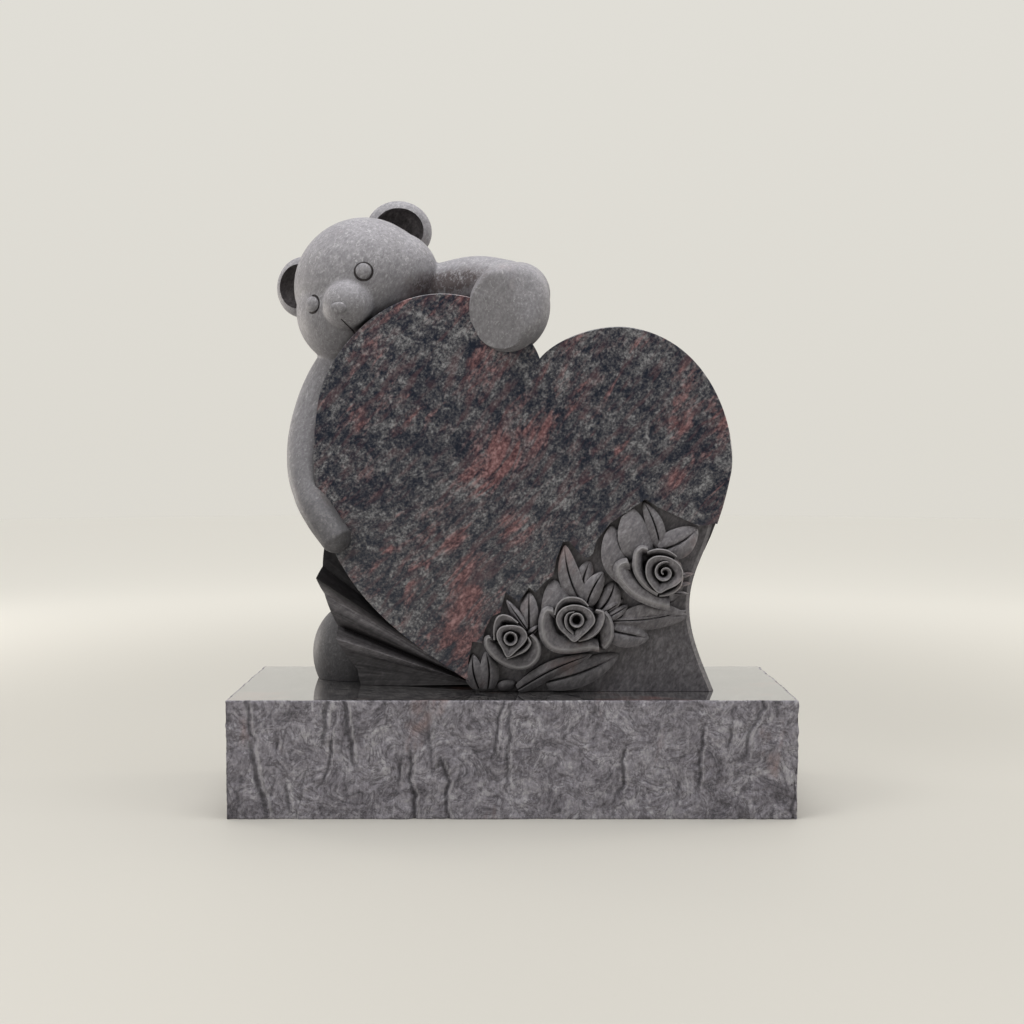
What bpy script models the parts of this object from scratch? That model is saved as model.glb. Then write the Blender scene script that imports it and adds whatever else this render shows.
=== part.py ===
"""Headstone: a teddy bear leaning over a heart, with drapery and roses, on a rock-pitched base.

Two stones of one granite. The upper stone is carved from a single block and stands on the base.
Metres, +Z up, the front faces -Y, and the origin is at the middle of the base's underside.
"""

import math

import bmesh
import bpy
from mathutils import Matrix, Vector

# The base stone
BASE_WIDTH = 0.762
BASE_DEPTH = 0.305
BASE_HEIGHT = 0.159
PITCH_RELIEF = 0.0032
PITCH_STEP = 0.032
PITCH_BATTER = 0.003

# The carved stone stands on the base with a hair's breadth of bedding between them
BED_JOINT = 0.0003
STONE_HEIGHT = 0.682
HEART_THICKNESS = 0.128
HEART_ARRIS = 0.0022
SLAB_THICKNESS = 0.108
SLAB_SETBACK = 0.011
SLAB_CHAMFER = 0.006
POCKET_DEPTH = 0.017
LEAF_CROWN = 0.0045
LEAF_CREASE = 0.0030
PETAL_LIP = 0.0026
EYE_RADIUS = 0.0112
EYE_GROOVE = 0.0015
MOUTH_GROOVE = 0.0017

# The carving is laid out in shares of the stone's height: 682 of these units make its height
CARVE = STONE_HEIGHT / 682

# Depths, as y: the heart's polished face is the plane that the relief is measured from
HEART_FACE = -90 * CARVE
SLAB_FACE = HEART_FACE + SLAB_SETBACK
POCKET_FLOOR = HEART_FACE + POCKET_DEPTH
RELIEF_ROOT = SLAB_FACE + 0.25 * SLAB_THICKNESS

# The heart in its own frame: tip at 0, axis up, then tilted over to the right
HEART_TIP = (-47, 7)
HEART_TILT = math.radians(10.7)
HEART_HALF_WIDTH = 284
HEART_SIDE_HEIGHT = 350
HEART_LOBE = (118, 519)
HEART_NOTCH = 455

HEAD_CENTRE = (-213, 3, 565)
HEAD_ROLL = math.radians(30)
HEAD_YAW = math.radians(21)
EARS = (("right", (-158, 21, 641), math.radians(5)), ("left", (-306, 16, 563), math.radians(-49)))
EYES = (("right", -201, 574), ("left", -274, 531))
MOUTH = ((-230, 507), (-221, 500), (-211, 488))
PAD_FACE = -112

# Limbs, from the shoulder: x, y, z and radius
ARM_NEAR = (
    (-205, 14, 490, 38), (-248, 0, 420, 38), (-272, -18, 352, 37),
    (-270, -46, 292, 34), (-257, -72, 250, 29), (-244, -92, 218, 25.5),
)
ARM_OVER = ((-165, 24, 540, 40), (-105, 12, 553, 40), (-45, -2, 560, 40), (5, -30, 556, 42))

# The drapery spreads from the heart's tip and falls back as it goes, its folds ever deeper
DRAPERY_TIP = (-45, -46, 4)
DRAPERY_BACK = 27
DRAPERY_SLOPE = 0.185
FOLD_GROWTH = 0.15

# Its folds: angle above the ground, reach, and how far forward
FOLDS = (
    (-2, 168, 0.30), (6, 174, 0.28), (13, 197, 0.45), (17.5, 210, 0.95), (21, 216, 0.0), (26, 235, 0.55),
    (29.5, 252, 0.45), (33, 272, 1.0), (36, 276, 0.25), (40, 291, 0.0), (46, 310, -0.1), (54, 322, -0.1),
)

# The soft forms are fused at this grain and then thinned to so many triangles
FUSE_VOXEL = 3.4 * CARVE
BEAR_TRIANGLES = 2400

# The least bevel that a plate's outline takes
FINE_EDGE = 0.0005

# Leaves of the spray: root, tip, width, sideways bend, height of the crest before the heart's face
LEAVES = (
    ("top", (201, 194), (175, 257), 27, 4, 1),
    ("top_broad", (190, 182), (160, 244), 42, 5, 2),
    ("left_broad", (146, 146), (133, 226), 40, 5, 1),
    ("fan_left", (93, 126), (71, 203), 27, 7, 5),
    ("fan_middle", (95, 124), (108, 184), 24, -4, 2),
    ("fan_right", (104, 118), (122, 167), 23, -3, 5),
    ("behind_middle", (27, 94), (67, 158), 31, -8, -2),
    ("bud_blade", (21, 88), (-8, 133), 10, -1, 2),
    ("bud_right", (25, 92), (23, 139), 22, 1, -3),
    ("upper_right", (205, 188), (255, 222), 34, -6, 1),
    ("edge_upper", (222, 152), (252, 158), 12, 1, -4),
    ("edge_lower", (220, 142), (250, 146), 13, 1, -3),
    ("side_thin", (133, 99), (242, 113), 15, -5, -1),
    ("side_broad", (150, 99), (241, 105), 29, 4, 1),
    ("side_low", (131, 87), (183, 75), 30, 0, -1),
    ("foot_broad", (48, 15), (139, 53), 30, 4, -1),
    ("foot_long", (6, 8), (88, 46), 26, -4, 2),
    ("tip_left", (-46, 8), (-50, 66), 20, 3, 1),
    ("tip_right", (-34, 8), (-30, 64), 22, -3, 2),
    ("foot_small", (8, 5), (-20, 11), 15, 0, -3),
    ("between_upper", (115, 114), (144, 152), 24, 3, -1),
    ("between_lower", (124, 104), (157, 124), 14, 1, 1),
)

# Roses: the middle of each bloom, its scale, and how far its point turns from straight down
ROSES = (
    ("small", (0, 77), 0.84, math.radians(-14)),
    ("middle", (87, 101), 1.0, math.radians(-5)),
    ("large", (201, 166), 1.0, math.radians(-8)),
)

# A small turn that keeps the facets of nested round shapes from meeting edge to edge
SKEW = Matrix.Rotation(0.19, 3, "Y")

# Petals of a rose: from and to angle (0 = right, 90 = up), inner and outer radius, rim height, roll
ROSE_PETALS = {
    "small": (
        (7, 367, 5.5, 9.5, 27, 0.0), (19, 379, 13, 20, 25, 0.4), (40, 150, 20, 32, 15, 1.0),
        (-100, 45, 20, 33, 20, 1.5), (135, 300, 22, 42, 14, 2.5), (-95, 20, 32, 47, 13, 2.5),
    ),
    "middle": (
        (7, 367, 5.5, 9.5, 27, 0.0), (19, 379, 13, 20, 25, 0.4), (45, 165, 20, 31, 17, 1.0),
        (-95, 50, 19, 31, 21, 1.2), (140, 320, 22, 47, 13, 3.5), (-75, 70, 30, 46, 10, 2.0),
    ),
    "large": (
        (7, 367, 5.5, 9.5, 27, 0.0), (19, 379, 13, 21, 25, 0.4), (85, 265, 20, 35, 22, 2.6),
        (-90, 75, 20, 32, 19, 1.0), (165, 312, 30, 60, 15, 4.5), (-70, 10, 30, 40, 11, 1.5),
    ),
}


def clear_scene():
    for thing in list(bpy.data.objects):
        bpy.data.objects.remove(thing, do_unlink=True)


def collection(name):
    made = bpy.data.collections.new(name)
    bpy.context.scene.collection.children.link(made)
    return made


def at(x, y, z):
    """A point of the carving, from carving units to metres above the stone's bed."""
    return Vector((x, y, z)) * CARVE


def before_face(x, z, proud):
    """A point of the relief at x, z, so many units in front of the heart's face."""
    return Vector((x * CARVE, HEART_FACE - proud * CARVE, z * CARVE))


def place(name, mesh, into):
    made = bpy.data.objects.new(name, mesh)
    into.objects.link(made)
    return made


def mesh_from(name, shape):
    bmesh.ops.recalc_face_normals(shape, faces=shape.faces)
    mesh = bpy.data.meshes.new(name)
    shape.to_mesh(mesh)
    shape.free()
    return mesh


def loft(name, sections, into, round_trip=False):
    """A closed skin through a row of sections with equal numbers of points."""
    shape = bmesh.new()
    rows = [[shape.verts.new(point) for point in section] for section in sections]
    pairs = list(zip(rows, rows[1:]))
    if round_trip:
        pairs.append((rows[-1], rows[0]))
    else:
        shape.faces.new(rows[0])
        shape.faces.new(rows[-1])
    for near, far in pairs:
        for i in range(len(near)):
            j = (i + 1) % len(near)
            shape.faces.new((near[i], near[j], far[j], far[i]))
    return place(name, mesh_from(name, shape), into)


def plate(name, outline, front, thickness, edge, into):
    """A flat plate cut to an outline in the x, z plane, with its edges bevelled."""
    half = thickness / 2
    curve = bpy.data.curves.new(name, "CURVE")
    curve.dimensions = "2D"
    curve.fill_mode = "BOTH"
    curve.extrude = half - edge
    curve.bevel_depth = edge
    curve.bevel_resolution = 0
    curve.offset = -edge
    spline = curve.splines.new("POLY")
    spline.points.add(len(outline) - 1)
    for point, (x, z) in zip(spline.points, outline):
        point.co = (x * CARVE, z * CARVE, 0, 1)
    spline.use_cyclic_u = True
    drawn = place(name + "_outline", curve, into)
    drawn.matrix_world = Matrix.Translation((0, front + half, 0)) @ Matrix.Rotation(math.pi / 2, 4, "X")
    return as_mesh(drawn, name, into)


def as_mesh(drawn, name, into):
    """A curve object made a welded mesh object of its own."""
    bpy.context.view_layer.update()
    graph = bpy.context.evaluated_depsgraph_get()
    mesh = bpy.data.meshes.new_from_object(drawn.evaluated_get(graph))
    shape = bmesh.new()
    shape.from_mesh(mesh)
    bmesh.ops.transform(shape, matrix=drawn.matrix_world, verts=shape.verts)
    bmesh.ops.remove_doubles(shape, verts=shape.verts, dist=0.00002)
    bmesh.ops.recalc_face_normals(shape, faces=shape.faces)
    shape.to_mesh(mesh)
    shape.free()
    made = place(name, mesh, into)
    bpy.data.objects.remove(drawn, do_unlink=True)
    return made


def tube(name, points, into, detail=3, steps=8):
    """A smooth round limb through points (x, y, z, radius), in carving units."""
    curve = bpy.data.curves.new(name, "CURVE")
    curve.dimensions = "3D"
    curve.bevel_depth = CARVE
    curve.bevel_resolution = detail
    curve.resolution_u = steps
    curve.use_fill_caps = True
    spline = curve.splines.new("BEZIER")
    spline.bezier_points.add(len(points) - 1)
    for knot, (x, y, z, radius) in zip(spline.bezier_points, points):
        knot.co = at(x, y, z)
        knot.radius = radius
        knot.handle_left_type = knot.handle_right_type = "AUTO"
    return as_mesh(place(name + "_line", curve, into), name, into)


def ball(name, centre, radii, into, turn=None, rings=14):
    """An ellipsoid in carving units, turned by a rotation matrix."""
    shape = bmesh.new()
    bmesh.ops.create_uvsphere(shape, u_segments=2 * rings, v_segments=rings, radius=1)
    size = Matrix.Diagonal((*[r * CARVE for r in radii], 1))
    turned = (turn or Matrix.Identity(3)).to_4x4()
    bmesh.ops.transform(shape, matrix=Matrix.Translation(at(*centre)) @ turned @ size, verts=shape.verts)
    return place(name, mesh_from(name, shape), into)


def combine(target, others, operation, solver="EXACT"):
    """Adds the other shapes to the target, or cuts them out of it, one after another."""
    for other in others:
        step = target.modifiers.new(other.name, "BOOLEAN")
        step.operation = operation
        step.object = other
        step.solver = solver


def bake(thing, others=()):
    """Settles the modifiers into the mesh and takes the used-up shapes away."""
    bpy.context.view_layer.update()
    graph = bpy.context.evaluated_depsgraph_get()
    mesh = bpy.data.meshes.new_from_object(thing.evaluated_get(graph))
    thing.modifiers.clear()
    thing.data = mesh
    for other in others:
        bpy.data.objects.remove(other, do_unlink=True)


def keep_outer_skin(thing):
    """Carved stone has no sealed hollows, so only the largest connected skin stays."""
    shape = bmesh.new()
    shape.from_mesh(thing.data)
    unseen = set(shape.faces)
    skins = []
    while unseen:
        skin = {unseen.pop()}
        edge = set(skin)
        while edge:
            edge = {n for face in edge for line in face.edges for n in line.link_faces} - skin
            skin |= edge
        unseen -= skin
        skins.append(skin)
    largest = max(skins, key=len)
    bmesh.ops.delete(shape, geom=[face for face in shape.faces if face not in largest], context="FACES")
    shape.to_mesh(thing.data)
    shape.free()


def stone_material(name, colour, roughness):
    made = bpy.data.materials.new(name)
    made.use_nodes = True
    shader = made.node_tree.nodes["Principled BSDF"]
    shader.inputs["Base Color"].default_value = (*colour, 1)
    shader.inputs["Roughness"].default_value = roughness
    shader.inputs["Metallic"].default_value = 0
    return made


# The base: a block with a flat top and bottom and four split faces


def split_face(u, height):
    """How far a split face stands out at u along it and at a height from 0 to 1."""
    wave = 0.6 * math.sin(41 * u + 2.1 * math.sin(3.7 * height)) + 0.4 * math.sin(97 * u + 5.2 * height)
    return PITCH_RELIEF * wave * (1 - 0.7 * height**3) - PITCH_BATTER * (1 - height)


def build_base(into):
    """Rings round the block from the underside to the polished top."""
    half_width, half_depth = BASE_WIDTH / 2, BASE_DEPTH / 2
    along = max(8, round(BASE_WIDTH / PITCH_STEP))
    across = max(4, round(BASE_DEPTH / PITCH_STEP))
    up = max(3, round(BASE_HEIGHT / PITCH_STEP))
    plan = [(i / along, 0) for i in range(along)]
    plan += [(1, i / across) for i in range(across)]
    plan += [(1 - i / along, 1) for i in range(along)]
    plan += [(0, 1 - i / across) for i in range(across)]
    sections = []
    for level in range(up + 1):
        height = level / up
        section = []
        for a, b in plan:
            x = (2 * a - 1) * half_width
            y = (2 * b - 1) * half_depth
            if b in (0, 1):
                y += math.copysign(split_face(x + 3 * b, height), y)
            if a in (0, 1):
                x += math.copysign(split_face(y + 7 * a, height), x)
            section.append(Vector((x, y, height * BASE_HEIGHT)))
        sections.append(section)
    stretch_to_size(sections)
    base = loft("base", sections, into)
    base.data.materials.append(stone_material("split_granite", (0.16, 0.15, 0.16), 0.8))
    return base


def stretch_to_size(sections):
    """Sets the widest points of the split faces on the block's named width and depth."""
    for axis, size in ((0, BASE_WIDTH), (1, BASE_DEPTH)):
        low = min(point[axis] for section in sections for point in section)
        high = max(point[axis] for section in sections for point in section)
        for section in sections:
            for point in section:
                point[axis] = (point[axis] - (low + high) / 2) * size / (high - low)


# The heart: one Bezier half, mirrored about the heart's own axis


def bezier(a, b, c, d, count):
    """Points from a towards d, without d itself."""
    a, b, c, d = (Vector(point) for point in (a, b, c, d))
    shares = [i / count for i in range(count)]
    return [
        tuple(a * (1 - t) ** 3 + b * 3 * t * (1 - t) ** 2 + c * 3 * t * t * (1 - t) + d * t**3)
        for t in shares
    ]


def heart_outline(count=10):
    wide, high = HEART_HALF_WIDTH, HEART_SIDE_HEIGHT
    lobe_x, lobe_z = HEART_LOBE
    half = bezier((0, 0), (112, 48), (wide, high - 246), (wide, high), count)
    half += bezier((wide, high), (wide, high + 52), (lobe_x + 112, lobe_z), HEART_LOBE, count)
    half += bezier(HEART_LOBE, (lobe_x - 48, lobe_z), (16, HEART_NOTCH + 30), (0, HEART_NOTCH), count)
    outline = half + [(0, HEART_NOTCH)] + [(-x, z) for x, z in reversed(half[1:])]
    turn, lean = math.cos(HEART_TILT), math.sin(HEART_TILT)
    return [(HEART_TIP[0] + x * turn + z * lean, HEART_TIP[1] - x * lean + z * turn) for x, z in outline]


def build_heart(into):
    return plate("heart", heart_outline(), HEART_FACE, HEART_THICKNESS, HEART_ARRIS, into)


def pocket_outline():
    """Where the polished face is cut back for the spray of roses."""
    return [
        (330, 222), (274, 231), (255, 227), (224, 241), (198, 253), (181, 264), (159, 249), (133, 231),
        (115, 208), (110, 190), (103, 184), (93, 189), (78, 207), (69, 206), (60, 182), (56, 160),
        (44, 151), (32, 137), (23, 144), (9, 124), (-9, 137), (-16, 110), (-28, 104), (-37, 86),
        (-41, 68), (-54, 70), (-60, 40), (-48, -20), (330, -20),
    ]


# The plain slab behind: it carries the heart and shows at the lower right


def slab_outline():
    """Flared at the foot, waisted beside the roses, and hidden by the heart elsewhere."""
    flare = bezier((277, 0), (252, 62), (228, 108), (256, 176), 10)
    shoulder = bezier((256, 176), (266, 200), (276, 225), (281, 262), 4)
    hidden = [(281, 262), (240, 430), (100, 455), (20, 420), (-150, 470), (-225, 400), (-222, 190)]
    return [(-58, 30), (-58, 0)] + flare + shoulder + hidden


def build_slab(into):
    return plate("slab", slab_outline(), SLAB_FACE, SLAB_THICKNESS, SLAB_CHAMFER, into)


# The drapery: a fan of folds spread from the heart's tip


def build_drapery(into, shares=(0.02, 0.2, 0.45, 0.7, 0.88, 1.0)):
    """One section of the fan for each fold and hollow, from the tip outwards."""
    sections = []
    for turn, reach, forward in FOLDS:
        angle = math.radians(turn)
        front = []
        for share in shares:
            run = share * reach
            back_by = DRAPERY_SLOPE * run - forward * (5 + FOLD_GROWTH * run)
            outward = Vector((-run * math.cos(angle), back_by, run * math.sin(angle)))
            front.append(at(*DRAPERY_TIP) + outward * CARVE)
        back = [Vector((p.x, DRAPERY_BACK * CARVE, p.z)) for p in (front[-1], front[0])]
        sections.append(front + back)
    return loft("drapery", sections, into)


# Leaves and roses of the spray


def leaf_sections(root, tip, width, bend, proud, stations, across):
    """Lens-shaped sections along a leaf: two crowned halves with a crease down the midrib."""
    root, tip = Vector(root), Vector(tip)
    along = tip - root
    side = Vector((-along.y, along.x)).normalized()
    sections = []
    for i in range(stations + 1):
        t = i / stations
        swell = math.sin(math.pi * min(1, 0.10 + 0.90 * t**0.85)) ** 0.8
        half = max(0.6, width / 2 * swell)
        middle = root + along * t + side * bend * math.sin(math.pi * t)
        lift = proud + 2.5 * math.sin(math.pi * t) - 3.5 * t**3
        top = []
        for k in range(across + 1):
            s = 2 * k / across - 1
            crown = LEAF_CROWN / CARVE * (1 - s * s) * swell
            crease = LEAF_CREASE / CARVE * (s == 0) * min(1, 2.5 * (1 - t))
            spot = middle + side * half * s
            top.append(before_face(spot.x, spot.y, lift + crown - crease - 3))
        ends = [Vector((p.x, RELIEF_ROOT, p.z)) for p in (top[-1], top[0])]
        sections.append(top + ends)
    return sections


def build_leaves(into, stations=6, across=4):
    return [
        loft("leaf_" + name, leaf_sections(root, tip, width, bend, proud, stations, across), into)
        for name, root, tip, width, bend, proud in LEAVES
    ]


def petal(name, centre, size, turn, shape, into, steps=8):
    """A bowl-shaped band: from the crevice at its neighbour up to its lip, rolled outwards."""
    start, end, inner, outer, rim, roll = shape
    whole = end - start >= 360
    sections = []
    for i in range(steps + 2 if whole else steps + 1):
        share = i / (steps + 2 if whole else steps)
        angle = math.radians(start + (end - start) * share)
        arch = 1 if whole else math.sin(math.pi * share) ** 0.6
        away = math.remainder(angle - turn + math.pi / 2, 2 * math.pi)
        point = 1 + 0.28 * max(0, 1 - abs(away) / 0.75) ** 1.5 if inner < 30 else 1
        lip = (inner + (outer - inner) * (0.3 + 0.7 * arch)) * point * size
        root = inner * point * size
        crest = rim - 4 * (1 - arch)
        edge = PETAL_LIP / CARVE
        profile = (
            (0.72 * root, -22, 1.0),
            (root - 1, crest - 5 - 0.22 * (lip - root), 0.1),
            (lip - edge, crest - 0.8, 0.0),
            (lip, crest, 0.0),
            (lip + roll, crest - 1.5 - 0.5 * roll, 0.0),
            (lip - 0.5 * edge + 0.3 * roll, crest - 6 - roll, 0.15),
            (0.8 * lip, -22, 1.0),
        )
        section = []
        for distance, height, sink in profile:
            x = centre[0] + distance * math.cos(angle)
            z = centre[1] + distance * math.sin(angle) - sink * 11 * size
            section.append(before_face(x, z, height))
        sections.append(section)
    return loft(name, sections, into, round_trip=whole)


def build_rose(name, centre, size, turn, into):
    """Petals round a hollow heart, over the bulb that they grow from."""
    shapes = enumerate(ROSE_PETALS[name])
    made = [petal(f"{name}_{n}", centre, size, turn, shape, into) for n, shape in shapes]
    floor = POCKET_FLOOR / CARVE
    x, z = centre
    bulb = ball(name + "_bulb", (x - 2, floor, z - 17 * size), (35 * size, 22, 32 * size), into, rings=6)
    bed = ball(name + "_bed", (x, floor, z), (27 * size, 34, 26 * size), into, turn=SKEW, rings=6)
    return made + [bulb, bed]


# The bear: soft forms fused into one skin


def build_ear(name, centre, facing, into):
    """A thick round ear, hollowed in front, that looks a little to the side."""
    face = Matrix.Rotation(facing, 3, "Z")
    ear = ball(name, centre, (43, 19, 43), into, turn=face, rings=12)
    ahead = Vector(centre) + face @ Vector((0, -19, 0))
    scoop = ball(name + "_scoop", ahead, (31, 26, 31), into, turn=face, rings=10)
    combine(ear, [scoop], "DIFFERENCE")
    bake(ear, [scoop])
    return ear


def build_paw(into):
    """The far paw hangs over the heart, its pad flattened towards the viewer."""
    turn = Matrix.Rotation(math.radians(10), 3, "Y")
    paw = ball("paw", (-3, -72, 529), (56, 54, 69), into, turn=turn)
    square = [(-200, 400), (200, 400), (200, 700), (-200, 700)]
    flat = plate("pad_plane", square, 2 * PAD_FACE * CARVE, -PAD_FACE * CARVE, FINE_EDGE, into)
    combine(paw, [flat], "DIFFERENCE")
    bake(paw, [flat])
    return paw


def build_bear(into):
    turn = Matrix.Rotation(-HEAD_ROLL, 3, "Y") @ Matrix.Rotation(-HEAD_YAW, 3, "Z")
    forms = [
        ball("skull", HEAD_CENTRE, (98, 86, 90), into, turn=turn, rings=18),
        ball("cheeks", (-226, -4, 525), (77, 72, 77), into, rings=16),
        ball("nape", (-152, 14, 560), (58, 56, 58), into),
        ball("muzzle", (-226, -76, 527), (34, 32, 32), into),
        ball("nose", (-233, -106, 521), (11, 6, 8.5), into, rings=10),
        ball("torso", (-128, 40, 255), (112, 58, 262), into, rings=18),
        ball("haunch", (-221, 34, 36), (61, 58, 74), into),
        ball("seat", (-128, 40, 70), (118, 62, 96), into),
        tube("arm_near", ARM_NEAR, into),
        ball("hand_near", ARM_NEAR[-1][:3], [ARM_NEAR[-1][3]] * 3, into, rings=10),
        tube("arm_over", ARM_OVER, into),
        build_paw(into),
        ball("wrist", (10, -40, 556), (45, 46, 44), into),
    ]
    forms += [build_ear("ear_" + side, centre, facing, into) for side, centre, facing in EARS]
    return fuse("bear", forms, into)


def fuse(name, forms, into):
    """Soft forms made one skin, smoothed where they meet, then thinned."""
    shape = bmesh.new()
    for form in forms:
        shape.from_mesh(form.data)
        bpy.data.objects.remove(form, do_unlink=True)
    mesh = bpy.data.meshes.new(name)
    shape.to_mesh(mesh)
    shape.free()
    fused = place(name, mesh, into)
    remesh = fused.modifiers.new("Fuse", "REMESH")
    remesh.mode = "VOXEL"
    remesh.voxel_size = FUSE_VOXEL
    smooth = fused.modifiers.new("Ease", "SMOOTH")
    smooth.factor = 0.5
    smooth.iterations = 6
    bake(fused)
    thin = fused.modifiers.new("Thin", "DECIMATE")
    thin.ratio = BEAR_TRIANGLES / (2 * len(fused.data.polygons))
    bake(fused)
    return fused


def in_front_of(body, x, z):
    """Where a line into the picture at x, z first meets the body, and the surface's direction there."""
    start = at(x, 0, z)
    start.y = -BASE_DEPTH
    hit, spot, normal, _ = body.ray_cast(start, Vector((0, 1, 0)))
    return spot, normal


def build_eyes(face, into):
    """Each eye is a low dome inside a cut ring. Returns the ring cutters and the domes."""
    rings, domes = [], []
    for side, x, z in EYES:
        spot, normal = in_front_of(face, x, z)
        seat = Matrix.Translation(spot) @ normal.to_track_quat("Z", "Y").to_matrix().to_4x4()
        shape = bmesh.new()
        bmesh.ops.create_uvsphere(shape, u_segments=12, v_segments=6, radius=EYE_RADIUS)
        bmesh.ops.transform(shape, matrix=seat @ Matrix.Diagonal((1, 1, 0.45, 1)), verts=shape.verts)
        domes.append(place("eye_" + side, mesh_from("eye", shape), into))
        bpy.ops.mesh.primitive_torus_add(
            major_segments=16,
            minor_segments=4,
            major_radius=EYE_RADIUS + EYE_GROOVE,
            minor_radius=EYE_GROOVE,
        )
        ring = bpy.context.object
        ring.data.transform(seat)
        rings.append(ring)
    return rings, domes


def build_mouth(face, into):
    spots = [in_front_of(face, x, z)[0] for x, z in MOUTH]
    line = [(*(spot / CARVE), MOUTH_GROOVE / CARVE) for spot in spots]
    return tube("mouth", line, into, detail=1, steps=3)


def build_stone(into):
    """The carved stone, worked from the plates outwards and made one solid."""
    stone = build_slab(into)
    stone.name = "headstone"
    heart = build_heart(into)
    reach = HEART_THICKNESS
    pocket = plate("pocket", pocket_outline(), POCKET_FLOOR - reach, reach, FINE_EDGE, into)
    combine(heart, [pocket], "DIFFERENCE")
    bake(heart, [pocket])
    bear = build_bear(into)
    rings, domes = build_eyes(bear, into)
    mouth = build_mouth(bear, into)
    combine(bear, [mouth] + rings, "DIFFERENCE", solver="MANIFOLD")
    bake(bear, [mouth] + rings)
    spray = build_leaves(into)
    for name, centre, size, turn in ROSES:
        spray += build_rose(name, centre, size, turn, into)
    parts = [heart, bear, build_drapery(into)] + domes + spray
    # EXACT leaves some edges with four faces where petals and leaves cross
    combine(stone, parts, "UNION", solver="MANIFOLD")
    bake(stone, parts)
    ground = [(-500, 0), (500, 0), (500, -300), (-500, -300)]
    below = plate("below", ground, -BASE_DEPTH, 2 * BASE_DEPTH, FINE_EDGE, into)
    combine(stone, [below], "DIFFERENCE", solver="MANIFOLD")
    bake(stone, [below])
    keep_outer_skin(stone)
    stone.data.materials.clear()
    stone.data.materials.append(stone_material("carved_granite", (0.12, 0.11, 0.12), 0.5))
    stone.data.set_sharp_from_angle(angle=math.radians(35))
    stone.location.z = BASE_HEIGHT + BED_JOINT
    return stone


def main():
    clear_scene()
    parts = collection("teddy_bear_headstone")
    build_base(parts)
    build_stone(parts)


main()
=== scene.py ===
"""A granite headstone: a teddy bear leans over a polished heart, with drapery and roses below it.

Two stones of one speckled granite. The upper one is carved from a single block and stands on a base
that is split on its four sides and polished on top. Metres, +Z up, the front faces -Y.
"""

from math import copysign, cos, exp, pi, radians, sin, sqrt, tanh

import bmesh
import bpy
import numpy as np
from mathutils import Matrix, Vector, noise
from mathutils.bvhtree import BVHTree
from mathutils.kdtree import KDTree


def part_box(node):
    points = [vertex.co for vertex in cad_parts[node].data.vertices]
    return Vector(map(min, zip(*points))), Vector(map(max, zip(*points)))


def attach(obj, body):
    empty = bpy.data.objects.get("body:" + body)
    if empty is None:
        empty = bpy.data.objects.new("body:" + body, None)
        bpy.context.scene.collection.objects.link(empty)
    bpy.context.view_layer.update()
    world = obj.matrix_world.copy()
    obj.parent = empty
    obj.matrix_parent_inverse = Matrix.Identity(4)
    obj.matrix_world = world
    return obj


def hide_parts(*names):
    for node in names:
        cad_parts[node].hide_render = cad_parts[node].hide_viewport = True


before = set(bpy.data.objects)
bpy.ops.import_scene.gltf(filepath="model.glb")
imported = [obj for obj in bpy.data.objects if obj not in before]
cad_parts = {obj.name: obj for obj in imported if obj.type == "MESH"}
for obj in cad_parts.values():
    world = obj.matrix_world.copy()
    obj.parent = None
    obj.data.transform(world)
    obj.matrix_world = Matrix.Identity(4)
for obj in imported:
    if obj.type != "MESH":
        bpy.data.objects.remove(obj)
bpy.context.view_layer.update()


# The base: one sawn block of granite under the carved stone, about 760 mm wide and 159 mm high.
# Its four sides are split, so they are nearly flat, with shallow creases that wander up and down.
# The top is polished like a mirror, and its arris is only just eased.

base_low, base_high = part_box("base")
SPLIT_STEP = 0.0025
BATTER = 0.003
EASED_ARRIS = 0.0012
CREASE_SPACING = 0.016
CREASE_SWAY = 0.0075
CREASE_JITTER = 0.0025
CREASE_END = 0.02
CREASE_DARK = 0.0032
SPLIT_SEED = 5
HIGH_SPOTS = 93

# Relief of the split faces: depth, and how often it repeats in a metre
WAVES = (0.0026, 13)
RIDGES = (0.0013, 44)
RIPPLES = (0.0014, 19)
RIPPLE_FOLDS = 7


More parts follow.
